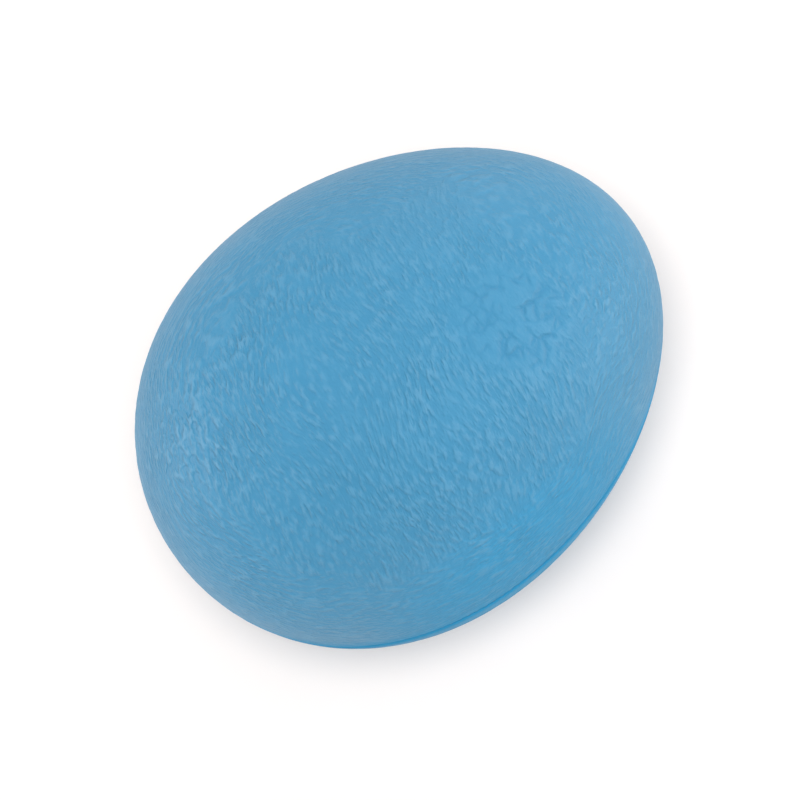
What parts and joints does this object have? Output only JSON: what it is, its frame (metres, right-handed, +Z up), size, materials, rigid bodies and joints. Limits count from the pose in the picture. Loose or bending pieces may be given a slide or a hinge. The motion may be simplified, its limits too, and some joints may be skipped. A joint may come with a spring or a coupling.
{
  "type": "stress ball",
  "caption": "Egg-shaped gel stress ball lying on its side: a wrinkled blue skin in two halves joined at a seam, over barrier films and a soft core that squeezes down and springs back.",
  "frame": {"origin": "on the surface that the egg rests on, below the middle of its length and width", "axes": "+X along the long axis to the narrow end, +Z up out of the surface that it rests on"},
  "size_m": [0.06, 0.0484, 0.0481],
  "materials": {
    "skin": "matt, finely wrinkled",
    "weld": "smooth, satin",
    "film": "smooth, milky",
    "gel": "wet-looking, translucent"
  },
  "bodies": {
    "lower_half": {"lower_cover": "skin", "lower_liner": "film", "seam_weld": "weld", "gel_core": "gel"},
    "upper_half": {"upper_cover": "skin", "upper_liner": "film"}
  },
  "joints": [
    {"name": "squeeze", "type": "slide", "parent": "lower_half", "child": "upper_half", "axis": [0, 0, -1], "range_m": [0, 0.016], "stiffness_N_per_m": 1400, "deforming": ["upper_cover", "upper_liner", "lower_cover", "lower_liner", "seam_weld", "gel_core"]}
  ]
}
